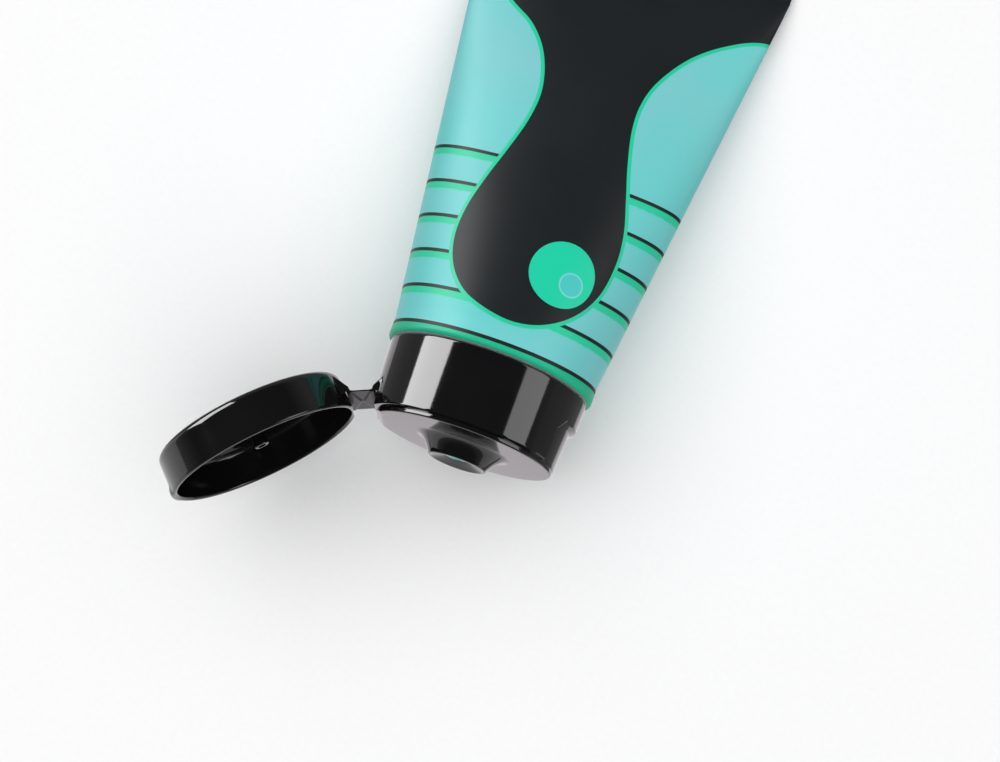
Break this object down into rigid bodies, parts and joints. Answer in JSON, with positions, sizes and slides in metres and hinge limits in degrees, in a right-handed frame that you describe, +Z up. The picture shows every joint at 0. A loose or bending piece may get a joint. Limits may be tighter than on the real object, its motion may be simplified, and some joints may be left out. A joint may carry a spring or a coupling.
{
  "type": "flip-top squeeze tube",
  "caption": "Soft squeeze tube of acrylic paint lying on its back, round at the shoulder and flat at the seal, with a screw-on flip-top cap open.",
  "frame": {"origin": "on the table, under the middle of the part's footprint with the lid open", "axes": "+Z up, +Y from the cap towards the flat end seal, +X towards the thumb side of the cap"},
  "size_m": [0.0828, 0.1368, 0.0444],
  "materials": {
    "tube_print": "printed and varnished, satin gloss",
    "shoulder_plastic": "natural white",
    "paint": "wet gloss",
    "seal_foam": "matt",
    "cap_plastic": "polished black",
    "strap_plastic": "satin black",
    "lid_plastic": "polished black"
  },
  "bodies": {
    "tube": {"tube_sleeve": "tube_print", "tube_shoulder": "shoulder_plastic", "paint_fill": "paint"},
    "washer": {"neck_seal": "seal_foam"},
    "cap": {"cap_base": "cap_plastic"},
    "strap": {"hinge_strap": "strap_plastic"},
    "flip_lid": {"lid": "lid_plastic"}
  },
  "joints": [
    {"name": "cap_lift", "type": "slide", "parent": "tube", "child": "washer", "axis": [0, -0.9789, 0.2042], "range_m": [0, 0.0023]},
    {"name": "cap_turn", "type": "hinge", "parent": "washer", "child": "cap", "pos_m": [0.00994, -0.04085, 0.02323], "axis": [0, -0.9789, 0.2042], "range_deg": [0, 270]},
    {"name": "strap_fold", "type": "hinge", "parent": "cap", "child": "strap", "pos_m": [-0.00846, -0.03874, 0.02279], "axis": [0, -0.2042, -0.9789], "range_deg": [-67, 23]},
    {"name": "lid_swing", "type": "hinge", "parent": "strap", "child": "flip_lid", "pos_m": [-0.01242, -0.04039, 0.02314], "axis": [0, -0.2042, -0.9789], "range_deg": [-67, 23]}
  ],
  "couplings": [
    {"joint": "cap_lift", "follows": "cap_turn", "m_per_rad": 0.00047746},
    {"joint": "strap_fold", "follows": "lid_swing", "ratio": 1}
  ]
}
